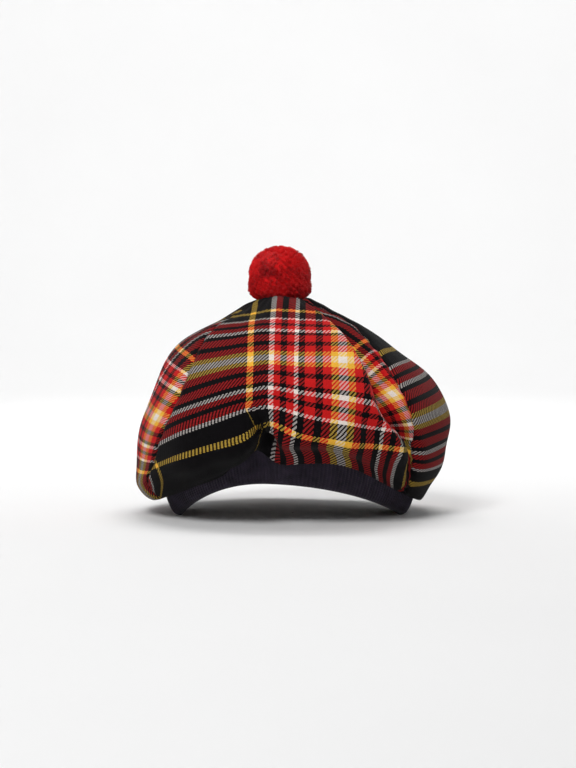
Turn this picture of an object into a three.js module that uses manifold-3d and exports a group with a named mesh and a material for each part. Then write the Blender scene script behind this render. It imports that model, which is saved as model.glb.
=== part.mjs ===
// A tam o shanter: a baggy cap of five tartan gores sewn to a rib knit band, with a wool pompom on top.
// Millimetres, Z up. The brow is towards -Y, and the hat lies on its band as it does on a table.
import * as THREE from "three";
import { mergeVertices } from "three/addons/utils/BufferGeometryUtils.js";
import Module from "manifold-3d";

const wasm = await Module();
wasm.setup();

// Driving dimensions
const reachLeft = 118;
const reachFront = 128;
const reachRight = 140;
const reachBack = 122;
const crownTop = 173;
const crownDip = 2;
const clothWall = 2;
const tieHole = 6;

const bandWidth = 186;
const bandDepth = 152;
const bandHeight = 36;
const bandWall = 3;
const bandFlare = 14;
const archFront = 31;
const archBack = 25;

const pomWidth = 52;
const pomHeight = 45.6;
const pomLower = 17;
const pomSquare = 1;
const lockWidth = 12;
const lockLength = 3.5;
const pomLift = 1.4;
const tieLength = 5;

const seamGap = 0.3;
const seamDip = 1.4;

// Where the pompom's axis stands, from the middle of the band
const axisLeft = 8.4;
const axisBack = 6;

// How high the crown's lower edge is sewn to the band, above the floor
const sewnSide = 13.5;
const sewnFront = 42;
const sewnBack = 33;

// The brow tuck lifts that edge a little to the left of the middle
const browRise = 12;
const browDegrees = -16;
const browSpreadDegrees = 9;

// Azimuths are degrees about the pompom's axis: 0 at the brow, 90 on the right, -90 on the left
const archPeakDegrees = -8;
const archSpanLeftDegrees = 68;
const archSpanRightDegrees = 86;
const archSpanBackDegrees = 70;
const archPower = 1.2;

const radians = THREE.MathUtils.degToRad;
const axis = new THREE.Vector2(-axisLeft, axisBack);

// The crown's rings from the top down: how far out each lies, as shares of the reach on that side,
// and how high, as shares of the crown's height. The hole is above them and the sewn edge below.
const RINGS = [
  { ring: "crest", leftOut: 0.188, leftUp: 0.995, frontOut: 0.188, frontUp: 1.025,
    rightOut: 0.176, rightUp: 1.012, backOut: 0.189, backUp: 1.0 },
  { ring: "shoulder", leftOut: 0.46, leftUp: 0.896, frontOut: 0.395, frontUp: 0.985,
    rightOut: 0.424, rightUp: 0.908, backOut: 0.434, backUp: 0.936 },
  { ring: "upper", leftOut: 0.712, leftUp: 0.806, frontOut: 0.637, frontUp: 0.867,
    rightOut: 0.674, rightUp: 0.779, backOut: 0.672, backUp: 0.827 },
  { ring: "middle", leftOut: 0.866, leftUp: 0.63, frontOut: 0.844, frontUp: 0.717,
    rightOut: 0.884, rightUp: 0.636, backOut: 0.844, backUp: 0.671 },
  { ring: "wide", leftOut: 0.963, leftUp: 0.416, frontOut: 0.965, frontUp: 0.543,
    rightOut: 0.99, rightUp: 0.462, backOut: 0.967, backUp: 0.474 },
  { ring: "low", leftOut: 1.0, leftUp: 0.208, frontOut: 1.0, frontUp: 0.432,
    rightOut: 0.97, rightUp: 0.301, backOut: 1.0, backUp: 0.289 },
  { ring: "skirt", leftOut: 0.976, leftUp: 0.118, frontOut: 0.965, frontUp: 0.365,
    rightOut: 0.914, rightUp: 0.162, backOut: 0.966, backUp: 0.191 },
  { ring: "under", leftOut: 0.887, leftUp: 0.064, frontOut: 0.825, frontUp: 0.3,
    rightOut: 0.833, rightUp: 0.066, backOut: 0.86, backUp: 0.15 },
];
const SEWN = RINGS.length + 1;

// Seams between the gores, as azimuths at the hole, at each ring and at the sewn edge
const SEAMS = {
  leftFront: [-44, -44, -44, -44, -44.8, -49.5, -59, -66, -70, -72],
  frontTucked: [38, 40, 41, 38, 37.5, 38, 50, 55, 57, 58],
  tuckedRight: [56, 59, 61, 52, 47, 48, 54, 57.5, 59.5, 60.5],
  rightBack: [108, 104, 100, 104, 112, 120, 128, 132, 134, 134],
  backLeft: [-146, -146, -146, -146, -146, -147, -149, -150, -150, -150],
};

// Folds in the cloth: a crease that runs from one ring to another, deepest between them. Its place is
// an azimuth at each end, or a seam that it follows. How far it stands out (or in, below zero) is a
// share of the crown's height, and so are its widths on the left and on the right.
const FOLDS = [
  { fold: "deep tuck", seam: "frontTucked", fromRing: 1.2, toRing: 7.6, out: -0.085,
    left: 0.036, right: 0.06 },
  { fold: "roll beside it", fromAzimuth: 20, toAzimuth: 26, fromRing: 3, toRing: 7.8, out: 0.026,
    left: 0.1, right: 0.07 },
  { fold: "brow notch", fromAzimuth: -6.5, toAzimuth: -5, fromRing: 4.9, toRing: 8.8, out: -0.065,
    left: 0.036, right: 0.048 },
  { fold: "brow crease", fromAzimuth: -13, toAzimuth: -7, fromRing: 3.2, toRing: 6.2, out: -0.012,
    left: 0.035, right: 0.035 },
  { fold: "brow lift", fromAzimuth: -16, toAzimuth: -16, fromRing: 6, toRing: 9, out: 0.03,
    left: 0.1, right: 0.07 },
  { fold: "left roll", fromAzimuth: -42, toAzimuth: -34, fromRing: 4.5, toRing: 8.6, out: 0.018,
    left: 0.12, right: 0.1 },
  { fold: "left dent", fromAzimuth: -88, toAzimuth: -96, fromRing: 2.4, toRing: 5.4, out: -0.014,
    left: 0.1, right: 0.1 },
  { fold: "back slump", fromAzimuth: 168, toAzimuth: 160, fromRing: 2.2, toRing: 7.4, out: -0.04,
    left: 0.1, right: 0.08 },
  { fold: "back roll", fromAzimuth: -168, toAzimuth: -172, fromRing: 3.6, toRing: 8.4, out: 0.03,
    left: 0.11, right: 0.1 },
];

// How finely the cloth and the band are cut into facets
const rowsAbove = 10;
const rowsBelow = 10;
const WIDE = 5;
const bandSteps = 72;

function blendSides(azimuth, left, front, right, back) {
  const across = Math.sin(azimuth) > 0 ? right : left;
  const along = Math.cos(azimuth) > 0 ? front : back;
  return across * Math.sin(azimuth) ** 2 + along * Math.cos(azimuth) ** 2;
}

function ringPoint(azimuth, outs, height) {
  const across = Math.sin(azimuth) > 0 ? outs.right : outs.left;
  const along = Math.cos(azimuth) > 0 ? outs.front : outs.back;
  return new THREE.Vector3(
    axis.x + across * Math.sin(azimuth),
    axis.y - along * Math.cos(azimuth),
    height,
  );
}

// Signed turn from one azimuth to another, between -180 and 180 degrees
function turn(from, to) {
  return THREE.MathUtils.euclideanModulo(to - from + 180, 360) - 180;
}

// The band's lower edge: it lies on the table at both sides and arches up at the brow and the nape
function bandFoot(azimuth) {
  const degrees = THREE.MathUtils.radToDeg(azimuth);
  const fromPeak = turn(archPeakDegrees, degrees);
  const frontSpan = fromPeak > 0 ? archSpanRightDegrees : archSpanLeftDegrees;
  const front = Math.max(0, Math.cos((Math.PI / 2) * Math.min(1, Math.abs(fromPeak) / frontSpan)));
  const fromBack = Math.abs(turn(180, degrees));
  const back = Math.max(0, Math.cos((Math.PI / 2) * Math.min(1, fromBack / archSpanBackDegrees)));
  return archFront * front ** archPower + archBack * back ** archPower;
}

function bandPoint(azimuth, height, inset) {
  const flare = bandFlare * Math.sqrt(Math.max(0, height - bandFoot(azimuth)) / bandHeight);
  const outs = {
    left: bandWidth / 2 - axisLeft + flare - inset,
    right: bandWidth / 2 + axisLeft + flare - inset,
    front: bandDepth / 2 + axisBack + flare - inset,
    back: bandDepth / 2 - axisBack + flare - inset,
  };
  return ringPoint(azimuth, outs, height);
}

function sewnHeight(azimuth) {
  const fromBrow = turn(browDegrees, THREE.MathUtils.radToDeg(azimuth));
  const rise = browRise * Math.exp(-((fromBrow / browSpreadDegrees) ** 2));
  return blendSides(azimuth, sewnSide, sewnFront, sewnSide, sewnBack) + rise;
}

// The outs of a ring, never closer to the band than the cloth's wall and the gap between pieces
function clearOfBand(azimuth, outs, height) {
  const level = Math.min(height, bandFoot(azimuth) + bandHeight);
  const band = bandPoint(azimuth, level, -clothWall - 2 * seamGap);
  const bandOut = band.distanceTo(new THREE.Vector3(axis.x, axis.y, level));
  const ring = ringPoint(azimuth, outs, level);
  const ringOut = ring.distanceTo(new THREE.Vector3(axis.x, axis.y, level));
  return Math.max(1, bandOut / ringOut);
}

function ringRow(azimuth, row) {
  if (row === SEWN) {
    return bandPoint(azimuth, sewnHeight(azimuth), -seamGap);
  }
  if (row === 0) {
    const outs = { left: tieHole, front: tieHole, right: tieHole, back: tieHole };
    return ringPoint(azimuth, outs, crownTop - crownDip);
  }
  const ring = RINGS[row - 1];
  const outs = {
    left: reachLeft * ring.leftOut,
    front: reachFront * ring.frontOut,
    right: reachRight * ring.rightOut,
    back: reachBack * ring.backOut,
  };
  const height = crownTop * blendSides(azimuth, ring.leftUp, ring.frontUp, ring.rightUp, ring.backUp);
  if (row > WIDE) {
    const wider = clearOfBand(azimuth, outs, height);
    for (const side of Object.keys(outs)) {
      outs[side] *= wider;
    }
  }
  return ringPoint(azimuth, outs, height);
}

// A smooth curve through values that are given ring by ring, and the four of them next to a row
function curve(before, start, end, after, share) {
  const bend = 2 * before - 5 * start + 4 * end - after;
  const twist = 3 * start - before - 3 * end + after;
  return 0.5 * (2 * start + (end - before) * share + bend * share ** 2 + twist * share ** 3);
}

function nearRings(row, valueAt) {
  const first = Math.min(Math.floor(row), SEWN - 1);
  const near = [-1, 0, 1, 2].map((step) => valueAt(THREE.MathUtils.clamp(first + step, 0, SEWN)));
  return { near, share: row - first };
}

// The crown without its folds
function smoothCrown(azimuth, row) {
  const { near, share } = nearRings(row, (ring) => ringRow(azimuth, ring));
  const [before, start, end, after] = near;
  return new THREE.Vector3(
    curve(before.x, start.x, end.x, after.x, share),
    curve(before.y, start.y, end.y, after.y, share),
    curve(before.z, start.z, end.z, after.z, share),
  );
}

function seamAzimuth(seam, row) {
  const { near, share } = nearRings(row, (ring) => SEAMS[seam][ring]);
  return curve(...near, share);
}

function foldDepth(degrees, row, around) {
  let depth = 0;
  for (const fold of FOLDS) {
    const along = (row - fold.fromRing) / (fold.toRing - fold.fromRing);
    if (along <= 0 || along >= 1) {
      continue;
    }
    const crease = fold.seam
      ? seamAzimuth(fold.seam, row)
      : THREE.MathUtils.lerp(fold.fromAzimuth, fold.toAzimuth, along);
    const across = radians(turn(crease, degrees)) * around;
    const width = crownTop * (across > 0 ? fold.right : fold.left);
    const fade = Math.sin(Math.PI * along) ** 0.8;
    depth += crownTop * fold.out * fade * Math.exp(-((across / width) ** 2));
  }
  return depth;
}

function seamDepth(degrees, row, around) {
  let depth = 0;
  for (const seam of Object.keys(SEAMS)) {
    const across = radians(turn(seamAzimuth(seam, row), degrees)) * around;
    depth -= seamDip * Math.exp(-((across / (2 * seamDip)) ** 2));
  }
  return depth;
}

const NUDGE = 0.004;

// A direction square to a surface that is given by two steps over it
function squareTo(place, azimuth, row) {
  const across = place(azimuth + NUDGE, row).sub(place(azimuth - NUDGE, row));
  const down = place(azimuth, Math.min(SEWN, row + NUDGE)).sub(place(azimuth, Math.max(0, row - NUDGE)));
  return down.cross(across).normalize();
}

// The outside of the cloth
function crownPoint(azimuth, row) {
  const place = smoothCrown(azimuth, row);
  const around = smoothCrown(azimuth + NUDGE, row).distanceTo(place) / NUDGE;
  const degrees = THREE.MathUtils.radToDeg(azimuth);
  const sewn = THREE.MathUtils.smoothstep(SEWN - row, 0, 1) * THREE.MathUtils.smoothstep(row, 0, 1);
  const depth = foldDepth(degrees, row, around) + seamDepth(degrees, row, around) * sewn;
  return place.addScaledVector(squareTo(smoothCrown, azimuth, row), depth);
}

// A closed solid from a grid of points: outer and inner faces, and the walls along its four edges
function clothSolid(outer, inner) {
  const columns = outer.length;
  const rows = outer[0].length;
  const positions = [];
  for (const sheet of [outer, inner]) {
    for (const line of sheet) {
      for (const point of line) {
        positions.push(point.x, point.y, point.z);
      }
    }
  }
  const at = (side, column, row) => side * columns * rows + column * rows + row;
  const faces = [];
  const quad = (a, b, c, d) => faces.push(a, b, c, a, c, d);
  for (let column = 0; column < columns - 1; column += 1) {
    for (let row = 0; row < rows - 1; row += 1) {
      quad(at(0, column, row), at(0, column, row + 1), at(0, column + 1, row + 1), at(0, column + 1, row));
      quad(at(1, column, row), at(1, column + 1, row), at(1, column + 1, row + 1), at(1, column, row + 1));
    }
    const last = rows - 1;
    quad(at(0, column, 0), at(0, column + 1, 0), at(1, column + 1, 0), at(1, column, 0));
    quad(at(0, column, last), at(1, column, last), at(1, column + 1, last), at(0, column + 1, last));
  }
  for (let row = 0; row < rows - 1; row += 1) {
    const last = columns - 1;
    quad(at(0, 0, row), at(1, 0, row), at(1, 0, row + 1), at(0, 0, row + 1));
    quad(at(0, last, row), at(0, last, row + 1), at(1, last, row + 1), at(1, last, row));
  }
  const geometry = new THREE.BufferGeometry();
  geometry.setAttribute("position", new THREE.Float32BufferAttribute(positions, 3));
  geometry.setIndex(faces);
  return geometry;
}

function rowList() {
  const rows = [];
  for (let step = 0; step <= rowsAbove + rowsBelow; step += 1) {
    const above = (WIDE * step) / rowsAbove;
    const below = WIDE + ((SEWN - WIDE) * (step - rowsAbove)) / rowsBelow;
    rows.push(step <= rowsAbove ? above : below);
  }
  return rows;
}

// One gore between two seams. Its columns crowd towards its right edge by the power given.
function gore(leftSeam, rightSeam, columns, crowd) {
  const rows = rowList();
  const outer = [];
  const inner = [];
  for (let column = 0; column <= columns; column += 1) {
    const share = 1 - (1 - column / columns) ** crowd;
    const outerLine = [];
    const innerLine = [];
    for (const row of rows) {
      const start = radians(seamAzimuth(leftSeam, row));
      const end = radians(seamAzimuth(rightSeam, row));
      const sweep = THREE.MathUtils.euclideanModulo(end - start, 2 * Math.PI);
      const middle = start + sweep / 2;
      const around = smoothCrown(middle + NUDGE, row).distanceTo(smoothCrown(middle, row)) / NUDGE;
      const margin = seamGap / 2 / around;
      const azimuth = start + margin + (sweep - 2 * margin) * share;
      const place = crownPoint(azimuth, row);
      const backing = place.clone().addScaledVector(squareTo(crownPoint, azimuth, row), -clothWall);
      outerLine.push(place);
      innerLine.push(row === SEWN ? bandPoint(azimuth, sewnHeight(azimuth) + clothWall, -seamGap) : backing);
    }
    outer.push(outerLine);
    inner.push(innerLine);
  }
  return clothSolid(outer, inner);
}

// The band's section, from its flat foot up the outside and down the inside: shares of its height,
// and shares of its wall that each corner is set in from the outside
const BAND_SECTION = [
  { up: 0, inset: 0.15 },
  { up: 0.03, inset: 0 },
  { up: 0.15, inset: 0 },
  { up: 0.4, inset: 0 },
  { up: 0.97, inset: 0 },
  { up: 1, inset: 0.15 },
  { up: 1, inset: 0.85 },
  { up: 0.4, inset: 1 },
  { up: 0, inset: 0.85 },
];

function band() {
  const positions = [];
  const faces = [];
  const corners = BAND_SECTION.length;
  for (let step = 0; step < bandSteps; step += 1) {
    const azimuth = (2 * Math.PI * step) / bandSteps;
    const foot = bandFoot(azimuth);
    for (const corner of BAND_SECTION) {
      const place = bandPoint(azimuth, foot + bandHeight * corner.up, bandWall * corner.inset);
      positions.push(place.x, place.y, place.z);
    }
    const here = step * corners;
    const next = ((step + 1) % bandSteps) * corners;
    for (let corner = 0; corner < corners; corner += 1) {
      const after = (corner + 1) % corners;
      faces.push(here + corner, next + corner, next + after, here + corner, next + after, here + after);
    }
  }
  const geometry = new THREE.BufferGeometry();
  geometry.setAttribute("position", new THREE.Float32BufferAttribute(positions, 3));
  geometry.setIndex(faces);
  return geometry;
}

function toManifold(geometry) {
  const bare = geometry.clone();
  bare.deleteAttribute("normal");
  bare.deleteAttribute("uv");
  const merged = mergeVertices(bare);
  return new wasm.Manifold(new wasm.Mesh({
    numProp: 3,
    vertProperties: merged.attributes.position.array,
    triVerts: new Uint32Array(merged.index.array),
  }));
}

function toGeometry(solid) {
  const mesh = solid.getMesh();
  const geometry = new THREE.BufferGeometry();
  geometry.setAttribute("position", new THREE.BufferAttribute(mesh.vertProperties, 3));
  geometry.setIndex(new THREE.BufferAttribute(mesh.triVerts, 1));
  return geometry;
}

// The pompom: locks of yarn all round a head, and the tie that holds it through the crown
function pompom() {
  const widest = crownTop + pomLift + pomLower;
  const wide = pomWidth / 2 - lockLength;
  const above = pomHeight - pomLower - lockLength;
  const below = pomLower - lockLength;
  const onHead = (point, share) => {
    const tall = point.z > 0 ? above : below;
    const square = point.z > 0 ? 1 : 1 + pomSquare * point.z ** 2 * (1 - point.z ** 2);
    const out = wide * share * square;
    return point.set(out * point.x, out * point.y, widest + tall * share * point.z);
  };
  const head = new THREE.SphereGeometry(1, 16, 10).rotateX(Math.PI / 2);
  const corner = new THREE.Vector3();
  for (let index = 0; index < head.attributes.position.count; index += 1) {
    onHead(corner.fromBufferAttribute(head.attributes.position, index), 1);
    head.attributes.position.setXYZ(index, corner.x, corner.y, corner.z);
  }
  let solid = toManifold(head);
  const tieRadius = tieHole - 2 * seamGap;
  const tieTall = tieLength + pomLift + pomLower;
  const tie = new THREE.CylinderGeometry(tieRadius, tieRadius, tieTall, 12).rotateX(Math.PI / 2);
  solid = solid.add(toManifold(tie.translate(0, 0, widest - tieTall / 2)));
  const count = Math.round((3.4 * pomWidth * pomHeight) / lockWidth ** 2);
  const golden = Math.PI * (3 - Math.sqrt(5));
  const rootShare = 0.92;
  const length = lockLength + (1 - rootShare) * wide;
  for (let lock = 0; lock < count; lock += 1) {
    const height = 1 - (2 * (lock + 0.5)) / count;
    const across = Math.sqrt(1 - height ** 2);
    const turned = golden * lock;
    const direction = new THREE.Vector3(across * Math.cos(turned), across * Math.sin(turned), height);
    const root = onHead(direction.clone(), rootShare);
    const shape = new THREE.CylinderGeometry(lockWidth * 0.3, lockWidth * 0.5, length, 4);
    shape.translate(0, length / 2, 0);
    shape.applyQuaternion(new THREE.Quaternion().setFromUnitVectors(new THREE.Vector3(0, 1, 0), direction));
    solid = solid.add(toManifold(shape.translate(root.x, root.y, root.z)));
  }
  return toGeometry(solid).translate(axis.x, axis.y, 0);
}

const tartan = { color: 0x7a1a20, roughness: 0.9, metalness: 0 };
const knit = { color: 0x1e1a22, roughness: 0.95, metalness: 0 };
const yarn = { color: 0xa81418, roughness: 1, metalness: 0 };

function piece(name, geometry, finish) {
  const mesh = new THREE.Mesh(geometry, new THREE.MeshStandardMaterial(finish));
  mesh.name = name;
  return mesh;
}

const hat = new THREE.Group();
hat.add(piece("gore_front", gore("leftFront", "frontTucked", 32, 1.25), tartan));
hat.add(piece("gore_tucked", gore("frontTucked", "tuckedRight", 5, 1), tartan));
hat.add(piece("gore_right", gore("tuckedRight", "rightBack", 16, 1), tartan));
hat.add(piece("gore_back", gore("rightBack", "backLeft", 18, 1), tartan));
hat.add(piece("gore_left", gore("backLeft", "leftFront", 17, 1), tartan));
hat.add(piece("band", band(), knit));
hat.add(piece("pompom", pompom(), yarn));

// The origin is on the table, under the middle of the hat's bounding box
const bounds = new THREE.Box3().setFromObject(hat, true);
hat.position.set(-(bounds.min.x + bounds.max.x) / 2, -(bounds.min.y + bounds.max.y) / 2, -bounds.min.z);

export default hat;
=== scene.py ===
# %% [markdown]
# # A tam o shanter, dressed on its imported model
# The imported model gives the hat's pieces at their real size: five gores of tartan, a rib knit band
# and a pompom. They are plain faceted solids. This lesson makes each of them again as fine cloth,
# knit and yarn, in the same place, and then lights the hat as in a studio.

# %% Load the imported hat
import math
from collections import namedtuple

import bpy
import numpy as np
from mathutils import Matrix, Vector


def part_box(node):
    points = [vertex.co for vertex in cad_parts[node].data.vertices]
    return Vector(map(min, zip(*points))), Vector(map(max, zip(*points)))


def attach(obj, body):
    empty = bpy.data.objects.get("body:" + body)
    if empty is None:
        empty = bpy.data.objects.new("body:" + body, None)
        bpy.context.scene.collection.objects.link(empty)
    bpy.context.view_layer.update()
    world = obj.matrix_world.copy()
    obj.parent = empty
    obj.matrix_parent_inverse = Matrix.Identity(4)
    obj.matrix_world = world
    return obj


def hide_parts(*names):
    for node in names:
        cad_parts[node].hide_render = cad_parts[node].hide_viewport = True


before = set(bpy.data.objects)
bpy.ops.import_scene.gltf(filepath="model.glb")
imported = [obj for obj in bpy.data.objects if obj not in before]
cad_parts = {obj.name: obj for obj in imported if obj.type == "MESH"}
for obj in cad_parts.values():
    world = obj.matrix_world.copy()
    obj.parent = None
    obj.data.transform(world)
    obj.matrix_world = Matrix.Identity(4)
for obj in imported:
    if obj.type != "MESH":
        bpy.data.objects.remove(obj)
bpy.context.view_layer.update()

MM = 0.001
band_low, band_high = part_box("band")

# %% [markdown]
# ## The camera
# The photograph looks at the brow from just above the table. Its picture is 576 pixels wide and 768
# high, and the hat's width tells how many millimetres one pixel covers. A long lens from far away
# keeps the sides as flat as they look there.

# %% Camera
PHOTO_WIDE, PHOTO_HIGH = 576, 768
PIXEL = 0.82 * MM
POMPOM_COLUMN = 279.8
FLOOR_ROW = 513.0
CAMERA_AWAY = 1.6
CAMERA_RISE = math.radians(2.5)
SENSOR = 36.0
FARTHEST_SEEN = 50.0

# The crown's own axis is a little to the left of the band's middle, and behind it
AXIS_LEFT = 8.4
AXIS_BACK = 6.0
axis_x = (band_low.x + band_high.x) / 2 / MM - AXIS_LEFT
axis_y = (band_low.y + band_high.y) / 2 / MM + AXIS_BACK

camera = bpy.data.objects.new("camera", bpy.data.cameras.new("camera"))
bpy.context.collection.objects.link(camera)
bpy.context.scene.camera = camera
bpy.context.scene.view_settings.view_transform = "Standard"
aim_x = axis_x * MM + (PHOTO_WIDE / 2 - POMPOM_COLUMN) * PIXEL
aim_z = (FLOOR_ROW - PHOTO_HIGH / 2) * PIXEL
camera_z = aim_z + CAMERA_AWAY * math.sin(CAMERA_RISE)
camera.location = (aim_x, -CAMERA_AWAY * math.cos(CAMERA_RISE), camera_z)
camera.rotation_euler = (math.pi / 2 - CAMERA_RISE, 0, 0)
camera.data.sensor_width = SENSOR
camera.data.lens = SENSOR * CAMERA_AWAY / (PHOTO_HIGH * PIXEL)
camera.data.clip_end = FARTHEST_SEEN
print("lens, mm:", round(camera.data.lens, 1))

# %% [markdown]
# ## The shape of the crown
# A slumped crown is a dome whose rings aren't round: each lies further out on one side than on
# another. So it is a short table of rings, with how far out and how high each one lies at the left,
# the brow, the right and the nape, and a smooth curve runs down through them. Folds are added on top.
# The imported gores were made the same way, so that the fine cloth lies where they do. Only its hem is
# drawn up a little more, in the notch and under the brow, so that the dark band shows below it.

# %% Sizes, rings, seams and folds
# How far the crown reaches from its axis on each side, how high it stands, and the hole for the tie
REACH_LEFT, REACH_FRONT, REACH_RIGHT, REACH_BACK = 118.0, 128.0, 140.0, 122.0
CROWN_TOP = 173.0
CROWN_DIP = 2.0
TIE_HOLE = 6.0

# The band is an oval ring that flares upwards. Its foot arches at the brow and at the nape.
BAND_WIDTH, BAND_DEPTH, BAND_HEIGHT, BAND_WALL, BAND_FLARE = 186.0, 152.0, 36.0, 3.0, 14.0
ARCH_FRONT, ARCH_BACK = 31.0, 25.0
ARCH_PEAK, ARCH_SPAN_LEFT, ARCH_SPAN_RIGHT, ARCH_SPAN_BACK = -8.0, 68.0, 86.0, 70.0
ARCH_POWER = 1.2

# The gap and the dip at a seam, and the height at which the gores are sewn to the band
SEAM_GAP = 0.3
SEAM_DIP = 1.4
SEWN_SIDE, SEWN_FRONT, SEWN_BACK = 13.5, 42.0, 33.0
BROW_RISE, BROW_AZIMUTH, BROW_SPREAD = 12.0, -16.0, 9.0

# How far the hem is drawn up, at which azimuth and how widely, and each ring's share of that
Rise = namedtuple("Rise", "height azimuth spread")
HEM_RISES = [Rise(9.0, -10.0, 8.0), Rise(9.0, 24.0, 24.0)]
HEM_PULL = {"skirt": 0.35, "under": 1.0}

# Every ring is given as shares of those reaches and of the crown's height
Ring = namedtuple("Ring", "name left_out left_up front_out front_up right_out right_up back_out back_up")
RINGS = [
    Ring("crest", 0.188, 0.995, 0.188, 1.025, 0.176, 1.012, 0.189, 1.0),
    Ring("shoulder", 0.46, 0.896, 0.395, 0.985, 0.424, 0.908, 0.434, 0.936),
    Ring("upper", 0.712, 0.806, 0.637, 0.867, 0.674, 0.779, 0.672, 0.827),
    Ring("middle", 0.866, 0.63, 0.844, 0.717, 0.884, 0.636, 0.844, 0.671),
    Ring("wide", 0.963, 0.416, 0.965, 0.543, 0.99, 0.462, 0.967, 0.474),
    Ring("low", 1.0, 0.208, 1.0, 0.432, 0.97, 0.301, 1.0, 0.289),
    Ring("skirt", 0.976, 0.118, 0.965, 0.365, 0.914, 0.162, 0.966, 0.191),
    Ring("under", 0.887, 0.064, 0.825, 0.3, 0.833, 0.066, 0.86, 0.15),
]
SEWN = len(RINGS) + 1

# Azimuths in degrees: 0 at the brow, 90 on the right, -90 on the left, one value for each ring
SEAMS = {
    "left_front": [-44, -44, -44, -44, -44.8, -49.5, -59, -66, -70, -72],
    "front_tucked": [38, 40, 41, 38, 37.5, 38, 50, 55, 57, 58],
    "tucked_right": [56, 59, 61, 52, 47, 48, 54, 57.5, 59.5, 60.5],
    "right_back": [108, 104, 100, 104, 112, 120, 128, 132, 134, 134],
    "back_left": [-146, -146, -146, -146, -146, -147, -149, -150, -150, -150],
}

# A fold runs from one azimuth and ring to another, by a seam or free. Out, left and right are its
# height and its widths as shares of the crown's height, and one below 0 goes inwards.
Fold = namedtuple("Fold", "name seam start_azimuth end_azimuth first_ring last_ring out left right")
FOLDS = [
    Fold("deep tuck", "front_tucked", 0, 0, 1.2, 7.6, -0.085, 0.036, 0.06),
    Fold("roll beside it", None, 20, 26, 3, 7.8, 0.026, 0.1, 0.07),
    Fold("brow notch", None, -6.5, -5, 4.9, 8.8, -0.065, 0.036, 0.048),
    Fold("brow crease", None, -13, -7, 3.2, 6.2, -0.012, 0.035, 0.035),
    Fold("brow lift", None, -16, -16, 6, 9, 0.03, 0.1, 0.07),
    Fold("left roll", None, -42, -34, 4.5, 8.6, 0.018, 0.12, 0.1),
    Fold("left dent", None, -88, -96, 2.4, 5.4, -0.014, 0.1, 0.1),
    Fold("back slump", None, 168, 160, 2.2, 7.4, -0.04, 0.1, 0.08),
    Fold("back roll", None, -168, -172, 3.6, 8.4, 0.03, 0.11, 0.1),
]
print("rings:", len(RINGS), "seams:", len(SEAMS), "folds:", len(FOLDS))

# %% [markdown]
# Each side of a ring is blended into the next as on an ellipse. The band is such a ring too, so one
# function places a point on either of them.

# %% Points on the band
def blend_sides(azimuth, left, front, right, back):
    across = np.where(np.sin(azimuth) > 0, right, left)
    along = np.where(np.cos(azimuth) > 0, front, back)
    return across * np.sin(azimuth) ** 2 + along * np.cos(azimuth) ** 2


def ring_point(azimuth, left, front, right, back, height):
    across = np.where(np.sin(azimuth) > 0, right, left)
    along = np.where(np.cos(azimuth) > 0, front, back)
    x = axis_x + across * np.sin(azimuth)
    y = axis_y - along * np.cos(azimuth)
    return np.stack(np.broadcast_arrays(x, y, height), -1)


def turn(start, end):
    return (end - start + 180) % 360 - 180


def band_foot(azimuth):
    """The band's lower edge: on the table at both sides, and arched at the brow and the nape."""
    degrees = np.degrees(azimuth)
    from_peak = turn(ARCH_PEAK, degrees)
    span = np.where(from_peak > 0, ARCH_SPAN_RIGHT, ARCH_SPAN_LEFT)
    front = np.cos(math.pi / 2 * np.minimum(1, np.abs(from_peak) / span)).clip(0)
    back = np.cos(math.pi / 2 * np.minimum(1, np.abs(turn(180, degrees)) / ARCH_SPAN_BACK)).clip(0)
    return ARCH_FRONT * front**ARCH_POWER + ARCH_BACK * back**ARCH_POWER


def band_point(azimuth, height, inset):
    flare = BAND_FLARE * np.sqrt((height - band_foot(azimuth)).clip(0) / BAND_HEIGHT)
    left = BAND_WIDTH / 2 - AXIS_LEFT + flare - inset
    right = BAND_WIDTH / 2 + AXIS_LEFT + flare - inset
    front = BAND_DEPTH / 2 + AXIS_BACK + flare - inset
    back = BAND_DEPTH / 2 - AXIS_BACK + flare - inset
    return ring_point(azimuth, left, front, right, back, height)


print("foot of the band at the brow, mm:", round(float(band_foot(math.radians(ARCH_PEAK))), 1))

# %% [markdown]
# The gores end where they are sewn to the band. The rows of the crown run from the hole for the tie,
# through every ring, to that edge, and a smooth curve joins them.

# %% Points on the smooth crown
def hem_rise(azimuth):
    degrees = np.degrees(azimuth)
    drawn = 0
    for rise in HEM_RISES:
        drawn = drawn + rise.height * np.exp(-((turn(rise.azimuth, degrees) / rise.spread) ** 2))
    return drawn


def sewn_height(azimuth):
    rise = BROW_RISE * np.exp(-((turn(BROW_AZIMUTH, np.degrees(azimuth)) / BROW_SPREAD) ** 2))
    return blend_sides(azimuth, SEWN_SIDE, SEWN_FRONT, SEWN_SIDE, SEWN_BACK) + rise + hem_rise(azimuth)


def ring_rows(azimuth):
    """Every ring's point at each azimuth, from the hole at the top to the sewn edge."""
    rows = [ring_point(azimuth, TIE_HOLE, TIE_HOLE, TIE_HOLE, TIE_HOLE, CROWN_TOP - CROWN_DIP)]
    for ring in RINGS:
        height = CROWN_TOP * blend_sides(azimuth, ring.left_up, ring.front_up, ring.right_up, ring.back_up)
        outs = (REACH_LEFT * ring.left_out, REACH_FRONT * ring.front_out)
        outs += (REACH_RIGHT * ring.right_out, REACH_BACK * ring.back_out)
        drawn = HEM_PULL.get(ring.name, 0.0) * hem_rise(azimuth)
        rows.append(ring_point(azimuth, *outs, height + drawn))
    rows.append(band_point(azimuth, sewn_height(azimuth), -SEAM_GAP))
    return np.stack(rows)


def curve(before, start, end, after, share):
    """A curve from start to end that also heeds the values before and after them."""
    bend = 2 * before - 5 * start + 4 * end - after
    twist = 3 * start - before - 3 * end + after
    return 0.5 * (2 * start + (end - before) * share + bend * share**2 + twist * share**3)


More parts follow.
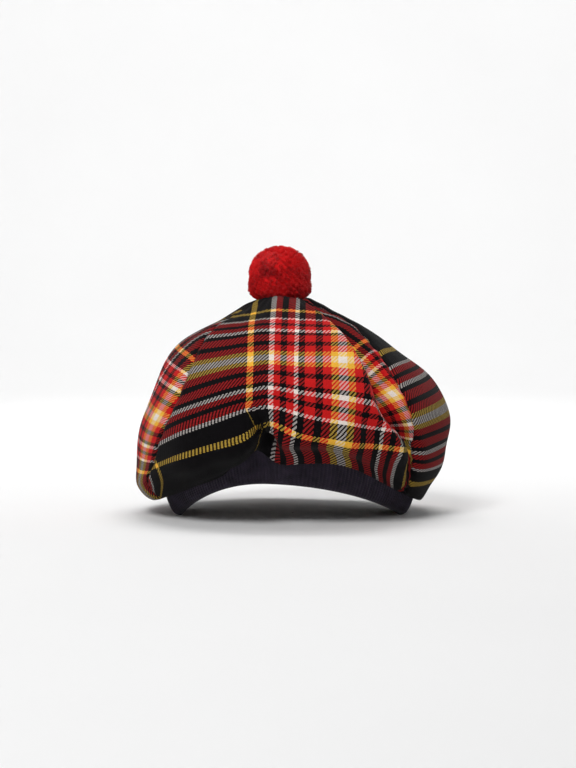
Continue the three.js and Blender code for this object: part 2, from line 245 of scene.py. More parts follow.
def along_rings(values, row):
    """A smooth curve through values given ring by ring, read at any row between them."""
    first = np.minimum(np.floor(row).astype(int), SEWN - 1)
    share = row - first
    near = [np.clip(first + step, 0, SEWN) for step in (-1, 0, 1, 2)]
    if values.ndim == 1:
        return curve(*(values[ring] for ring in near), share)
    cells = np.indices(row.shape)
    return curve(*(values[(ring, *cells)] for ring in near), share[..., None])


def smooth_crown(azimuth, row):
    return along_rings(ring_rows(azimuth), row)


def seam_azimuth(seam, row):
    return along_rings(np.array(SEAMS[seam], float), row)


print("hem at the brow, mm:", round(float(sewn_height(0.0)), 1))

# %% [markdown]
# Folds and seams push the cloth in or out, square to the smooth crown. A fold is a crease from one
# ring to another, deepest halfway, with a width on each side. A seam draws the cloth in a little.

# %% Folds and seams
FOLD_FADE = 0.8


def fold_depth(folds, degrees, row, around):
    depth = np.zeros_like(row)
    for fold in folds:
        along = ((row - fold.first_ring) / (fold.last_ring - fold.first_ring)).clip(0, 1)
        crease = fold.start_azimuth + (fold.end_azimuth - fold.start_azimuth) * along
        if fold.seam:
            crease = crease + seam_azimuth(fold.seam, row)
        across = np.radians(turn(crease, degrees)) * around
        width = CROWN_TOP * np.where(across > 0, fold.right, fold.left)
        fade = np.sin(math.pi * along).clip(0) ** FOLD_FADE
        depth += CROWN_TOP * fold.out * fade * np.exp(-((across / width) ** 2))
    return depth


def seam_depth(degrees, row, around):
    depth = np.zeros_like(row)
    for seam in SEAMS:
        across = np.radians(turn(seam_azimuth(seam, row), degrees)) * around
        depth -= SEAM_DIP * np.exp(-((across / (2 * SEAM_DIP)) ** 2))
    return depth


def smooth_step(value):
    value = value.clip(0, 1)
    return value * value * (3 - 2 * value)


print("deepest fold, mm:", round(CROWN_TOP * min(fold.out for fold in FOLDS), 1))

# %% [markdown]
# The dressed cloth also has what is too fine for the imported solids: a deeper pocket in the notch, a
# rolled edge and a crease beside the tucked gore, small puckers where the seams were sewn, gathers
# under the pompom, and a slow unevenness. The last three are left out where the stripes are measured,
# since cloth is striped before it is sewn. The puckers are waves, out of step from seam to seam and
# from side to side, and the unevenness is two pairs of slow waves that cross.

# %% Fine folds
NUDGE = 0.004
DEEPER = [
    Fold("brow pocket", None, -9.5, -5.0, 4.9, 8.3, -0.06, 0.026, 0.045),
    Fold("tuck edge", "front_tucked", -7, -8, 2.4, 7.0, 0.03, 0.06, 0.03),
    Fold("tuck crease", "front_tucked", 3, 2, 2.4, 6.6, -0.04, 0.03, 0.03),
]
PUCKER_DEEP, PUCKER_LONG, PUCKER_WIDE = 0.45, 8.0, 7.0
SEAM_STEP, SIDE_STEP, PUCKER_WANDER, WANDER_LONG = 1.7, 0.9, 1.5, 19.0
GATHER_DEEP, GATHERS, GATHER_ROWS = 0.5, 34, 2.2
UNEVEN_DEEP = 1.1


def fine_depth(azimuth, row, around):
    degrees = np.degrees(azimuth)
    depth = np.zeros_like(row)
    along = row * CROWN_TOP / SEWN
    for number, seam in enumerate(SEAMS):
        across = np.radians(turn(seam_azimuth(seam, row), degrees)) * around
        side = np.where(across > 0, 1.0, -1.0)
        phase = 2 * math.pi * along / PUCKER_LONG + SEAM_STEP * number + SIDE_STEP * side
        wave = np.sin(phase + PUCKER_WANDER * np.sin(along / WANDER_LONG))
        depth += PUCKER_DEEP * wave * np.exp(-np.abs(across) / PUCKER_WIDE)
    near_top = np.exp(-((row / GATHER_ROWS) ** 2)) * smooth_step(row)
    depth += GATHER_DEEP * near_top * np.sin(GATHERS * azimuth + 2.0 * np.sin(3 * azimuth) + row)
    slow = np.sin(3.1 * azimuth + 1.3 * row + 0.4) * np.sin(1.9 * row - 2.3 * azimuth)
    slow += 0.7 * np.sin(6.3 * azimuth - 1.7 * row + 1.1) * np.sin(2.7 * row + 4.0 * azimuth + 0.7)
    return depth + UNEVEN_DEEP * slow * smooth_step(row / 2) * smooth_step((SEWN - row) / 2)


print("fine folds:", len(DEEPER), "gathers:", GATHERS)

# %% [markdown]
# The cloth's outer face is the smooth crown, moved by all of these together. It moves square to the
# smooth crown, which two small steps across and two down give.

# %% The crown's outer face
def unit(ways):
    return ways / np.linalg.norm(ways, axis=-1, keepdims=True)


def square_to(place, azimuth, row):
    across = place(azimuth + NUDGE, row) - place(azimuth - NUDGE, row)
    down = place(azimuth, np.minimum(SEWN, row + NUDGE)) - place(azimuth, np.maximum(0, row - NUDGE))
    return unit(np.cross(down, across))


def crown_point(azimuth, row, fine=1.0):
    """The cloth's outer face, with a share of the fine folds."""
    place = smooth_crown(azimuth, row)
    around = np.linalg.norm(smooth_crown(azimuth + NUDGE, row) - place, axis=-1) / NUDGE
    degrees = np.degrees(azimuth)
    held = smooth_step(SEWN - row) * smooth_step(row)
    depth = fold_depth(FOLDS + DEEPER, degrees, row, around)
    depth += (fine * fine_depth(azimuth, row, around) + seam_depth(degrees, row, around)) * held
    return place + square_to(smooth_crown, azimuth, row) * depth[..., None]


brow = crown_point(np.zeros((1, 1)), np.full((1, 1), SEWN - 2.0))[0, 0]
print("the cloth over the brow reaches out by, mm:", round(float(axis_y - brow[1]), 1))

# %% [markdown]
# ## Materials
# A colour is written as it looks on a screen, in hex, and turned to the linear light that shaders
# work in. One function adds a node with its settings and its links, and the materials use only that.

# %% Colours and nodes
def linear(hex_colour):
    parts = [int(hex_colour[i : i + 2], 16) / 255 for i in (1, 3, 5)]
    return tuple(p / 12.92 if p <= 0.04045 else ((p + 0.055) / 1.055) ** 2.4 for p in parts) + (1.0,)


def add_node(tree, kind, settings=None, links=None):
    """Adds a node. Settings name its properties or its input sockets, and links its input sockets."""
    node = tree.nodes.new(kind)
    for name, value in (settings or {}).items():
        if hasattr(node, str(name)):
            setattr(node, name, value)
        else:
            node.inputs[name].default_value = value
    for name, source in (links or {}).items():
        tree.links.new(source, node.inputs[name])
    return node


def new_material(name):
    material = bpy.data.materials.new(name)
    material.use_nodes = True
    material.node_tree.nodes.clear()
    return material, material.node_tree


print("middle grey in linear light:", round(linear("#808080")[0], 3))

# %% [markdown]
# ### Tartan
# The cloth is a wool tartan: a 2/2 twill, so each thread goes over two and under two, one further
# on in each row, which draws fine diagonals. Warp and weft have the same stripes. Where two colours
# cross, each diagonal is one of them, which is why red on black reads as a dark red. The stripes are
# a colour ramp, read once across the cloth and once along it, and the twill picks one of the two.
# They could be painted on as a picture, but then the threads would blur close up.

# %% Tartan stripes
# Widths in mm from the white line in the middle of the pattern, and each yarn's colour
Stripe = namedtuple("Stripe", "yarn width")
STRIPES = [
    Stripe("white", 3.1),
    Stripe("yellow", 5.8),
    Stripe("red", 6.7),
    Stripe("black", 5.4),
    Stripe("red", 8.2),
    Stripe("black", 5.2),
    Stripe("white", 3.6),
    Stripe("red", 5.6),
    Stripe("black", 4.4),
    Stripe("red", 5.8),
    Stripe("white", 3.6),
    Stripe("black", 12.6),
    Stripe("yellow", 4.6),
    Stripe("black", 56.0),
]
YARNS = {
    "white": "#FAF2EC",
    "yellow": "#FBD058",
    "red": "#DE2C2D",
    "black": "#110E12",
}
HALF_SETT = sum(stripe.width for stripe in STRIPES)
print("from one turning point of the pattern to the next, mm:", round(HALF_SETT, 1))

# %% [markdown]
# A tartan's threads lie about 0.6 mm apart. Those would be too fine to show here, so they are drawn
# 0.82 mm apart, which is a pixel of the picture, and its diagonals come out as coarse as they look.

# %% Tartan threads
THREAD = 0.82
WEFT_PACKING = 0.778


def count_threads(tree, along):
    """The number of the thread at a place, and how rounded the cloth is there across that thread."""
    threads = add_node(tree, "ShaderNodeMath", {"operation": "DIVIDE", 1: THREAD}, {0: along})
    whole = add_node(tree, "ShaderNodeMath", {"operation": "FLOOR"}, {0: threads.outputs[0]})
    part = add_node(tree, "ShaderNodeMath", {"operation": "FRACT"}, {0: threads.outputs[0]})
    angle = add_node(tree, "ShaderNodeMath", {"operation": "MULTIPLY", 1: math.pi}, {0: part.outputs[0]})
    rounded = add_node(tree, "ShaderNodeMath", {"operation": "SINE"}, {0: angle.outputs[0]})
    return whole.outputs[0], rounded.outputs[0]


def stripe_colour(tree, thread, packing, label):
    """The yarn of a thread. The stripes mirror at the pivot and again at the half sett."""
    settings = {"operation": "MULTIPLY", 1: THREAD / packing}
    place = add_node(tree, "ShaderNodeMath", settings, {0: thread})
    settings = {"operation": "PINGPONG", 1: HALF_SETT}
    folded = add_node(tree, "ShaderNodeMath", settings, {0: place.outputs[0]})
    settings = {"operation": "DIVIDE", 1: HALF_SETT}
    share = add_node(tree, "ShaderNodeMath", settings, {0: folded.outputs[0]})
    ramp = add_node(tree, "ShaderNodeValToRGB", {"label": label}, {"Fac": share.outputs[0]})
    ramp.color_ramp.interpolation = "CONSTANT"
    edge = 0.0
    stops_given = len(ramp.color_ramp.elements)
    for number, stripe in enumerate(STRIPES):
        if number < stops_given:
            stop = ramp.color_ramp.elements[number]
            stop.position = edge / HALF_SETT
        else:
            stop = ramp.color_ramp.elements.new(edge / HALF_SETT)
        stop.color = linear(YARNS[stripe.yarn])
        edge += stripe.width
    return ramp.outputs["Color"]


print("threads in that stretch:", round(HALF_SETT / THREAD))

# %% [markdown]
# The real cloth is wool tartan, spun from dyed fleece and woven, then washed and pressed. Washing
# raises a short nap, so the eye sees no gloss, a soft cloudiness, and each colour a little veiled by
# the one that crosses it. So it is very rough, with hardly any sheen, and noise stands for the nap.

# %% Wool tartan
CROSSING_FUZZ = 0.54
CLOUDS_PER_MM, FIBRES_PER_MM = 0.09, 1.1
THREAD_RELIEF = 0.25


def tartan_cloth():
    material, tree = new_material("wool_tartan_twill")
    weave = add_node(tree, "ShaderNodeUVMap", {"uv_map": "weave"})
    on_weave = {"Vector": weave.outputs["UV"]}
    parts = add_node(tree, "ShaderNodeSeparateXYZ", None, {0: weave.outputs["UV"]})
    warp_thread, warp_round = count_threads(tree, parts.outputs["X"])
    weft_thread, weft_round = count_threads(tree, parts.outputs["Y"])
    warp = stripe_colour(tree, warp_thread, 1.0, "warp stripes")
    weft = stripe_colour(tree, weft_thread, WEFT_PACKING, "weft stripes")

    # Two threads over and two under, one further on in each row: a diagonal that repeats every four
    links = {0: warp_thread, 1: weft_thread}
    diagonal = add_node(tree, "ShaderNodeMath", {"operation": "ADD"}, links)
    settings = {"operation": "FLOORED_MODULO", 1: 4.0}
    step = add_node(tree, "ShaderNodeMath", settings, {0: diagonal.outputs[0]})
    over = add_node(tree, "ShaderNodeMath", {"operation": "LESS_THAN", 1: 1.5}, {0: step.outputs[0]})
    links = {0: over.outputs[0], 6: weft, 7: warp}
    face = add_node(tree, "ShaderNodeMix", {"data_type": "RGBA"}, links)

    # Woollen fuzz of the crossing thread lies over each float and dulls it towards its own colour
    settings = {"data_type": "RGBA", "blend_type": "MULTIPLY", 0: 1.0}
    veil = add_node(tree, "ShaderNodeMix", settings, {6: weft, 7: warp})
    links = {6: face.outputs[2], 7: veil.outputs[2]}
    woven = add_node(tree, "ShaderNodeMix", {"data_type": "RGBA", 0: CROSSING_FUZZ}, links)
    links = {0: over.outputs[0], 2: weft_round, 3: warp_round}
    rounded = add_node(tree, "ShaderNodeMix", {"data_type": "FLOAT"}, links)

    # Wool threads differ a little from one to the next, and the cloth's nap clouds them softly. Painted
    # shade also darkens each float towards its edges, where it meets the next thread.
    cloud = add_node(tree, "ShaderNodeTexNoise", {"Scale": CLOUDS_PER_MM, "Detail": 5.0}, on_weave)
    settings = {"To Min": 0.82, "To Max": 1.14}
    nap = add_node(tree, "ShaderNodeMapRange", settings, {"Value": cloud.outputs["Fac"]})
    fibre = add_node(tree, "ShaderNodeTexNoise", {"Scale": FIBRES_PER_MM, "Detail": 3.0}, on_weave)
    settings = {"To Min": 0.7, "To Max": 1.25}
    fuzz = add_node(tree, "ShaderNodeMapRange", settings, {"Value": fibre.outputs["Fac"]})
    # Painted shade between threads: each float's colour falls to 0.55 at its edges
    settings = {"To Min": 0.55, "To Max": 1.0}
    painted_gap_shade = add_node(tree, "ShaderNodeMapRange", settings, {"Value": rounded.outputs[0]})
    links = {0: nap.outputs[0], 1: fuzz.outputs[0]}
    uneven = add_node(tree, "ShaderNodeMath", {"operation": "MULTIPLY"}, links)
    links = {0: uneven.outputs[0], 1: painted_gap_shade.outputs[0]}
    shade = add_node(tree, "ShaderNodeMath", {"operation": "MULTIPLY"}, links)
    links = {0: woven.outputs[2], "Scale": shade.outputs[0]}
    colour_with_painted_shade = add_node(tree, "ShaderNodeVectorMath", {"operation": "SCALE"}, links)

    # Where a thread floats over two others it stands up as a small rounded ridge
    links = {0: rounded.outputs[0], 1: fibre.outputs["Fac"]}
    height = add_node(tree, "ShaderNodeMath", {"operation": "ADD"}, links)
    settings = {"Strength": 0.4, "Distance": THREAD_RELIEF * MM}
    bump = add_node(tree, "ShaderNodeBump", settings, {"Height": height.outputs[0]})
    settings = {"Roughness": 0.95, "Sheen Weight": 0.02, "Sheen Roughness": 0.5, "Specular IOR Level": 0.1}
    links = {"Base Color": colour_with_painted_shade.outputs[0], "Normal": bump.outputs[0]}
    shader = add_node(tree, "ShaderNodeBsdfPrincipled", settings, links)
    add_node(tree, "ShaderNodeOutputMaterial", None, {"Surface": shader.outputs[0]})
    return material


TARTAN = tartan_cloth()
print("tartan nodes:", len(TARTAN.node_tree.nodes))

# %% [markdown]
# ## The gores
# A gore is a panel between two seams. It is a fine grid over the crown, given a back sheet and edges
# so that it is a real thickness of cloth. Its weave is a second set of coordinates in millimetres:
# across, from the middle of the panel, and along, from the top, so that the stripes run as the cloth
# was cut and bend with it.

# %% A panel of cloth from a grid
CLOTH_WALL = 2.0


def grid_normals(points):
    across = np.gradient(points, axis=0)
    down = np.gradient(points, axis=1)
    return unit(np.cross(down, across))


def mesh_object(name, points, faces, material):
    mesh = bpy.data.meshes.new(name)
    mesh.from_pydata(points.reshape(-1, 3) * MM, [], faces)
    mesh.materials.append(material)
    mesh.polygons.foreach_set("use_smooth", np.ones(len(mesh.polygons), bool))
    piece = bpy.data.objects.new(name, mesh)
    bpy.context.collection.objects.link(piece)
    return piece


def add_map(piece, name, values):
    """Coordinates for the weave, given for each point and stored for each corner of each face."""
    corners = np.empty(len(piece.data.loops), int)
    piece.data.loops.foreach_get("vertex_index", corners)
    layer = piece.data.uv_layers.new(name=name)
    layer.uv.foreach_set("vector", values.reshape(-1, 2)[corners].astype(np.float32).ravel())


def grid_quads(index):
    """Quads of a grid of point numbers that closes on itself around."""
    after = np.roll(index, -1, 0)
    return np.stack([index[:, :-1], index[:, 1:], after[:, 1:], after[:, :-1]], -1).reshape(-1, 4)


def sheet_faces(columns, rows):
    """Quads of a front sheet, a back sheet and the four edges that join them."""
    front = np.arange(columns * rows).reshape(columns, rows)
    back = front + columns * rows
    a, b, c, d = front[:-1, :-1], front[:-1, 1:], front[1:, 1:], front[1:, :-1]
    faces = [np.stack([a, b, c, d], -1).reshape(-1, 4)]
    a, b, c, d = back[:-1, :-1], back[1:, :-1], back[1:, 1:], back[:-1, 1:]
    faces.append(np.stack([a, b, c, d], -1).reshape(-1, 4))
    rim = np.concatenate([front[0, :], front[1:, -1], front[-1, -2::-1], front[-2:0:-1, 0]])
    after = np.roll(rim, -1)
    offset = columns * rows
    faces.append(np.stack([rim, rim + offset, after + offset, after], -1))
    return np.concatenate(faces).tolist()


def cloth_panel(name, outer, weave, wall, material):
    inner = outer - grid_normals(outer) * wall
    columns, rows = outer.shape[:2]
    piece = mesh_object(name, np.stack([outer, inner]), sheet_faces(columns, rows), material)
    add_map(piece, "weave", np.stack([weave, weave]))
    return piece


print("quads in a sheet of 3 by 3 points:", len(sheet_faces(3, 3)))

# %% [markdown]
# A gore is cut flat, with its stripes straight. Sewn into a dome, its rows droop towards the seams,
# because the panel's sides lean away from its middle thread. The front gore is also drawn up in the
# notch over the brow, so its rows climb to a peak there. One cloth would give every gore stripes of
# one scale. In the photograph they come out wider on the left and narrower in the tuck, so each gore
# has its own row of numbers, fitted to that.

# %% Weave coordinates
# How a gore is cut: the azimuth of its middle thread, where the pattern's white lines lie across and
# along it in mm, within it or beyond, and how its rows droop (None where they are drawn up instead).
# Then how wide its rows and how close its stripes are, both 1 in the front gore (below 0 if the
# stripes run the other way), and how far stripes and rows slant.
Cut = namedtuple("Cut", "middle pivot_across pivot_along droop spacing closeness slant lean")

# How steeply the rows hang and how deep they dip beside their peak, at a ring, left and right of it
Pull = namedtuple("Pull", "ring left_slope left_notch right_slope right_notch")
BROW_PULLS = [
    Pull(2.5, 0.03, 0, 0.03, 0),
    Pull(4, 0.137, 0, 0.137, 0),
    Pull(5, 0.21, 1.6, 0.21, 1.6),
    Pull(6, 0.26, 4.5, 0.21, 8.3),
]
PULL_FROM_MIDDLE = -8.0
PULL_ROUND = 8.0
NOTCH_WIDE = 20.0

# The crease takes in cloth from one place in the pattern, below one row, and gives it back further on
CREASE_PLACE, CREASE_WIDTH, CREASE_ROW, CREASE_ROWS = -76.0, 6.0, 4.85, 0.25
CREASE_REACH, CREASE_FADE = 16.0, 10.0


def arc_lengths(points, axis):
    steps = np.linalg.norm(np.diff(points, axis=axis), axis=-1)
    return np.insert(np.cumsum(steps, axis=axis), 0, 0.0, axis=axis)


def brow_pull(across, row):
    """How far a row hangs below its peak, which lies a little left of the middle thread."""
    pulls = np.array(BROW_PULLS)
    values = [np.interp(row, pulls[:, 0], pulls[:, column]) for column in range(1, 5)]
    left_slope, left_notch, right_slope, right_notch = values
    aside = across - PULL_FROM_MIDDLE
    slope = np.where(aside < 0, left_slope, right_slope)
    notch = np.where(aside < 0, left_notch, right_notch)
    tent = np.sqrt(aside**2 + PULL_ROUND**2) - PULL_ROUND
    return slope * tent + notch * (1 - np.exp(-((aside / NOTCH_WIDE) ** 2)))


def taken_in(place, row):
    """The crease at the head of the notch takes in a stripe's width of cloth."""
    deep = CREASE_WIDTH * smooth_step((row - CREASE_ROW) / CREASE_ROWS)
    fade = smooth_step((CREASE_PLACE + CREASE_REACH - place) / CREASE_FADE)
    return deep * smooth_step(place - CREASE_PLACE) * fade


def weave_map(azimuth, row, outer, cut):
    """Millimetres across the panel and along it, both counted from the pattern's white lines."""
    along = arc_lengths(smooth_crown(azimuth, row), 1)
    across = arc_lengths(outer, 0)
    from_middle = turn(cut.middle, np.degrees(azimuth))
    across -= [np.interp(0, *column) for column in zip(from_middle.T, across.T)]
    if cut.droop is None:
        lower = brow_pull(across, row)
    else:
        lower = cut.droop * (along - np.sqrt((along**2 - across**2).clip(0.1 * along**2)))
    down = (along - cut.pivot_along - lower) / cut.spacing
    side = cut.closeness * (across - cut.pivot_across)
    side, down = side + cut.slant * down, down - cut.lean * side
    if cut.droop is None:
        side += taken_in(side, row)
    return np.stack([side, down], -1)


print("rings where the brow's rows are pulled:", [pull.ring for pull in BROW_PULLS])

# %% [markdown]
# Every gore is a grid from seam to seam, a little short of each, so that two gores never touch. Its
# stripes are measured on the crown without the fine folds, and its points are set on the one with them.

# %% Make the five gores
Gore = namedtuple("Gore", "name left right columns cut")
ROWS = 200
GORES = [
    Gore("gore_front", "left_front", "front_tucked", 200, Cut(-2.0, 52.7, 110.9, None, 1.0, 1, 0, 0)),
    Gore("gore_tucked", "front_tucked", "tucked_right", 40, Cut(62.0, -9.5, 147.0, 0.0, 1.0, -1.6, 0.35, 0)),
    Gore("gore_right", "tucked_right", "right_back", 130, Cut(90.0, -172.0, 164.0, 0.4, 1.15, 1, 0, 0)),
    Gore("gore_back", "right_back", "back_left", 140, Cut(170.0, 40.0, 128.0, 0.8, 1.0, 1, 0, 0)),
    Gore("gore_left", "back_left", "left_front", 140, Cut(-100.0, 84.5, 150.0, 0.22, 1.0, 0.75, 0.34, 0.16)),
]


def gore_grid(gore):
    row = np.linspace(0, SEWN, ROWS + 1)
    start = np.radians(seam_azimuth(gore.left, row))
    sweep = (np.radians(seam_azimuth(gore.right, row)) - start) % (2 * math.pi)
    middle = start + sweep / 2
    step = np.linalg.norm(smooth_crown(middle + NUDGE, row) - smooth_crown(middle, row), axis=-1) / NUDGE
    margin = SEAM_GAP / 2 / step
    share = np.linspace(0, 1, gore.columns + 1)[:, None]
    azimuth = start + margin + (sweep - 2 * margin) * share
    return azimuth, np.broadcast_to(row, azimuth.shape).copy()


for gore in GORES:
    azimuth, row = gore_grid(gore)
    outer = crown_point(azimuth, row)
    weave = weave_map(azimuth, row, crown_point(azimuth, row, fine=0.0), gore.cut)
    piece = cloth_panel(gore.name + "_cloth", outer, weave, CLOTH_WALL, TARTAN)
    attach(piece, "root")
    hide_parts(gore.name)
    print(piece.name, len(piece.data.polygons), "faces")

# %% [markdown]
# ## The band
# The band is a rib knit: knit and purl columns take turns, so it stands in fine upright ribs that
# let it stretch. Each rib is real relief here, because the light rakes across it at the brow. The
# loops are finer, and a bump in the finish is enough for them.
#
# The finish is dark dyed wool, machine knitted. Its loose yarn has no gloss and drinks the light, so
# the eye sees a blackish cloth that is a little paler where fibres catch the light. A rib is drawn
# 2.4 mm wide and a stitch 1.7 mm tall, as in a middling fine knit.

# %% Wool rib knit
RIB = 2.4
RIB_DEPTH = 1.0
STITCH = 1.7
LOOP_LEAN = 1.6
KNIT_CLOUDS_PER_MM, KNIT_FIBRES_PER_MM = 0.12, 1.2
LOOP_RELIEF = 0.3


def knit_wool():
    material, tree = new_material("wool_rib_knit")
    weave = add_node(tree, "ShaderNodeUVMap", {"uv_map": "weave"})
    on_weave = {"Vector": weave.outputs["UV"]}
    parts = add_node(tree, "ShaderNodeSeparateXYZ", None, {0: weave.outputs["UV"]})
    settings = {"operation": "MULTIPLY", 1: 2 * math.pi / STITCH}
    courses = add_node(tree, "ShaderNodeMath", settings, {0: parts.outputs["Y"]})
    settings = {"operation": "MULTIPLY", 1: 2 * math.pi / RIB}
    ribs = add_node(tree, "ShaderNodeMath", settings, {0: parts.outputs["X"]})
    lean = add_node(tree, "ShaderNodeMath", {"operation": "COSINE"}, {0: ribs.outputs[0]})
    settings = {"operation": "MULTIPLY", 1: LOOP_LEAN}
    vee = add_node(tree, "ShaderNodeMath", settings, {0: lean.outputs[0]})
    links = {0: courses.outputs[0], 1: vee.outputs[0]}
    phase = add_node(tree, "ShaderNodeMath", {"operation": "ADD"}, links)
    loop = add_node(tree, "ShaderNodeMath", {"operation": "SINE"}, {0: phase.outputs[0]})
    settings = {"Scale": KNIT_FIBRES_PER_MM, "Detail": 6.0}
    fibre = add_node(tree, "ShaderNodeTexNoise", settings, on_weave)
    links = {0: loop.outputs[0], 1: fibre.outputs["Fac"]}
    height = add_node(tree, "ShaderNodeMath", {"operation": "ADD"}, links)
    settings = {"Strength": 0.6, "Distance": LOOP_RELIEF * MM}
    bump = add_node(tree, "ShaderNodeBump", settings, {"Height": height.outputs[0]})
    settings = {"Scale": KNIT_CLOUDS_PER_MM, "Detail": 4.0}
    cloud = add_node(tree, "ShaderNodeTexNoise", settings, on_weave)
    ramp = add_node(tree, "ShaderNodeValToRGB", None, {"Fac": cloud.outputs["Fac"]})
    ramp.color_ramp.elements[0].color = linear("#1D1822")
    ramp.color_ramp.elements[0].position = 0.3
    ramp.color_ramp.elements[1].color = linear("#322B3A")
    ramp.color_ramp.elements[1].position = 0.75
    settings = {"Roughness": 0.92, "Sheen Weight": 0.08, "Sheen Roughness": 0.5, "Specular IOR Level": 0.2}
    links = {"Base Color": ramp.outputs["Color"], "Normal": bump.outputs[0]}
    shader = add_node(tree, "ShaderNodeBsdfPrincipled", settings, links)
    add_node(tree, "ShaderNodeOutputMaterial", None, {"Surface": shader.outputs[0]})
    return material


KNIT = knit_wool()
print("knit nodes:", len(KNIT.node_tree.nodes))

# %% [markdown]
# The band's mesh is one section, swept around the oval: up the outside, over a rounded top and down
# the inside. Its steps are closer near the foot, where the flare bends most, and six columns make a rib.

# %% Band mesh
BAND_ROUND, ROUND_POINTS = 1.2, 5
RIB_COLUMNS, RIB_FULLNESS = 6, 0.7
OUTER_STEPS, FOOT_CROWDING = 16, 1.5


def band_section():
    """Heights above the foot and insets, up the outside, over the top and down the inside."""
    side = np.linspace(0, 1, OUTER_STEPS) ** FOOT_CROWDING
    quarter = np.linspace(0, math.pi / 2, ROUND_POINTS)
    up = BAND_ROUND + (BAND_HEIGHT - 2 * BAND_ROUND) * side
    corner_in = BAND_ROUND * (1 - np.cos(quarter))
    corner_up = BAND_ROUND * np.sin(quarter)
    heights = [BAND_ROUND - corner_up[::-1], up[1:-1], BAND_HEIGHT - BAND_ROUND + corner_up]
    insets = [corner_in[::-1], np.zeros(len(up) - 2), corner_in]
    outside = np.stack([np.concatenate(heights), np.concatenate(insets)], -1)
    inside = outside[::-1].copy()
    inside[:, 1] = BAND_WALL - inside[:, 1]
    return np.concatenate([outside, inside])


def make_band():
    around = math.pi * (BAND_WIDTH + BAND_DEPTH) / 2
    ribs = round(around / RIB)
    columns = ribs * RIB_COLUMNS
    section = band_section()
    azimuth = np.linspace(0, 2 * math.pi, columns, endpoint=False)[:, None] - math.pi
    azimuth = np.broadcast_to(azimuth, (columns, len(section))).copy()
    height = band_foot(azimuth) + section[None, :, 0]
    core = band_point(azimuth, height, section[None, :, 1])
    ends = np.concatenate([core[-1:], core, core[:1]])
    across = (ends[2:] - ends[:-2]) / 2
    loop = np.concatenate([core[:, -1:], core, core[:, :1]], 1)
    along = (loop[:, 2:] - loop[:, :-2]) / 2
    normal = unit(np.cross(across, along))

    # The ribs stand out sideways only, so that the foot stays on the table
    normal[..., 2] = 0
    rib = np.abs(np.sin(math.pi * np.arange(columns) / RIB_COLUMNS)) ** RIB_FULLNESS
    relief = RIB_DEPTH * (rib - 1.0)[:, None, None]
    points = core + normal * relief
    index = np.arange(columns * len(section)).reshape(columns, -1)
    after = np.roll(index, -1, 0)
    faces = np.stack([index, after, np.roll(after, -1, 1), np.roll(index, -1, 1)], -1)
    piece = mesh_object("band_knit", points, faces.reshape(-1, 4).tolist(), KNIT)
    u = np.arange(columns)[:, None] * RIB / RIB_COLUMNS * np.ones(len(section))
    v = arc_lengths(core, 1)
    add_map(piece, "weave", np.stack([u, v], -1))
    print("ribs:", ribs, "faces:", len(piece.data.polygons))
    return piece


band = make_band()
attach(band, "root")
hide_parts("band")

# %% [markdown]
# ## The pompom
# A wool pompom is hundreds of yarn ends tied at the middle and trimmed to a ball. Close up, each cut
# end opens into a soft brush of fibres, with small dark hollows between them. Here a core ball fills
# the middle, and thousands of short tapered fibres stand on it in clumps, trimmed to the ball's form.
# Hair curves could do this as well, but a mesh goes into the exported model as it is.
#
# The finish is dyed wool yarn, wound, tied and cut. Cut ends show no gloss, and their red varies a
# little from tuft to tuft and from fibre to fibre, which noise of two sizes gives.

# %% Trimmed wool yarn
TUFTS_PER_M, YARN_FIBRES_PER_M = 75.0, 700.0


def pompom_yarn():
    material, tree = new_material("trimmed_wool_yarn")
    place = add_node(tree, "ShaderNodeTexCoord")
    on_piece = {"Vector": place.outputs["Object"]}
    patches = add_node(tree, "ShaderNodeTexNoise", {"Scale": TUFTS_PER_M, "Detail": 3.0}, on_piece)
    fine = add_node(tree, "ShaderNodeTexNoise", {"Scale": YARN_FIBRES_PER_M, "Detail": 3.0}, on_piece)
    settings = {"operation": "MULTIPLY_ADD", 1: 0.4}
    links = {0: fine.outputs["Fac"], 2: patches.outputs["Fac"]}
    mixed = add_node(tree, "ShaderNodeMath", settings, links)
    ramp = add_node(tree, "ShaderNodeValToRGB", None, {"Fac": mixed.outputs[0]})
    ramp.color_ramp.elements[0].color = linear("#A20D14")
    ramp.color_ramp.elements[0].position = 0.5
    ramp.color_ramp.elements[1].color = linear("#DA181C")
    ramp.color_ramp.elements[1].position = 0.72
    settings = {"Roughness": 0.95, "Sheen Weight": 0.12, "Sheen Roughness": 0.5, "Specular IOR Level": 0.15}
    shader = add_node(tree, "ShaderNodeBsdfPrincipled", settings, {"Base Color": ramp.outputs["Color"]})
    add_node(tree, "ShaderNodeOutputMaterial", None, {"Surface": shader.outputs[0]})
    return material


YARN = pompom_yarn()
print("yarn nodes:", len(YARN.node_tree.nodes))

# %% [markdown]
# The ball is a little flattened and square-shouldered, as a pompom is when it sits on cloth. Its form
# is a function of direction, so that fibres, clumps and core all follow it.

# %% The pompom's form
POM_WIDTH, POM_HEIGHT, POM_LOWER, POM_LIFT = 52.0, 50.0, 23.0, -3.6
POM_SQUARE_TOP, POM_SQUARE_BOTTOM = 0.22, 0.75


def on_ball(direction, share):
    """A point of the pompom's form in a direction, drawn in towards its middle by a share."""
    up = direction[..., 2]
    tall = np.where(up > 0, POM_HEIGHT - POM_LOWER, POM_LOWER)
    square = 1 + np.where(up > 0, POM_SQUARE_TOP, POM_SQUARE_BOTTOM) * up**2 * (1 - up**2)
    widest = CROWN_TOP + POM_LIFT + POM_LOWER
    across = POM_WIDTH / 2 * square * share
    x = axis_x + across * direction[..., 0]
    y = axis_y + across * direction[..., 1]
    z = widest + tall * share * up
    return np.stack([x, y, z], -1)


def spread_directions(count):
    """Directions spread evenly over a ball, turning by the golden angle from one to the next."""
    number = np.arange(count)
    height = 1 - 2 * (number + 0.5) / count
    across = np.sqrt(1 - height**2)
    turned = number * math.pi * (3 - math.sqrt(5))
    return np.stack([across * np.cos(turned), across * np.sin(turned), height], -1)


